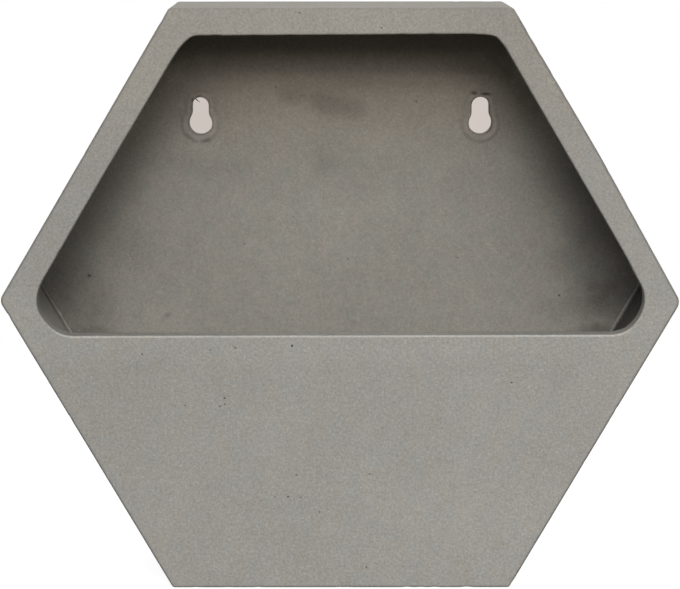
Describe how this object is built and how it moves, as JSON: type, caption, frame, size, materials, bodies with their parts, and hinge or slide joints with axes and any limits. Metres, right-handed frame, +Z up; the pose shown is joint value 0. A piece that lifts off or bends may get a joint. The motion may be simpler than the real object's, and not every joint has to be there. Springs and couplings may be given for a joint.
{
  "type": "wall planter",
  "caption": "Hexagonal concrete wall planter: a shallow hollow shell with a wide rounded window above a closed soil pocket, and a back panel with hanging keyholes.",
  "frame": {"origin": "centre of the flat back face that lies on the wall, half-way up the planter", "axes": "+X to the right seen from the front, across the side corners; +Y into the wall; +Z up"},
  "size_m": [0.3484, 0.095, 0.3],
  "materials": {
    "shell_concrete": "matte",
    "panel_concrete": "matte",
    "bonding_mortar": "matte",
    "plug_rubber": "matte"
  },
  "bodies": {
    "planter": {"planter_shell": "shell_concrete", "back_panel": "panel_concrete", "bond_seam": "bonding_mortar"},
    "plug": {"drain_plug": "plug_rubber"}
  },
  "joints": [
    {"name": "plug_pull", "type": "slide", "parent": "planter", "child": "plug", "axis": [0, 0, 1], "range_m": [0, 0.03]}
  ]
}
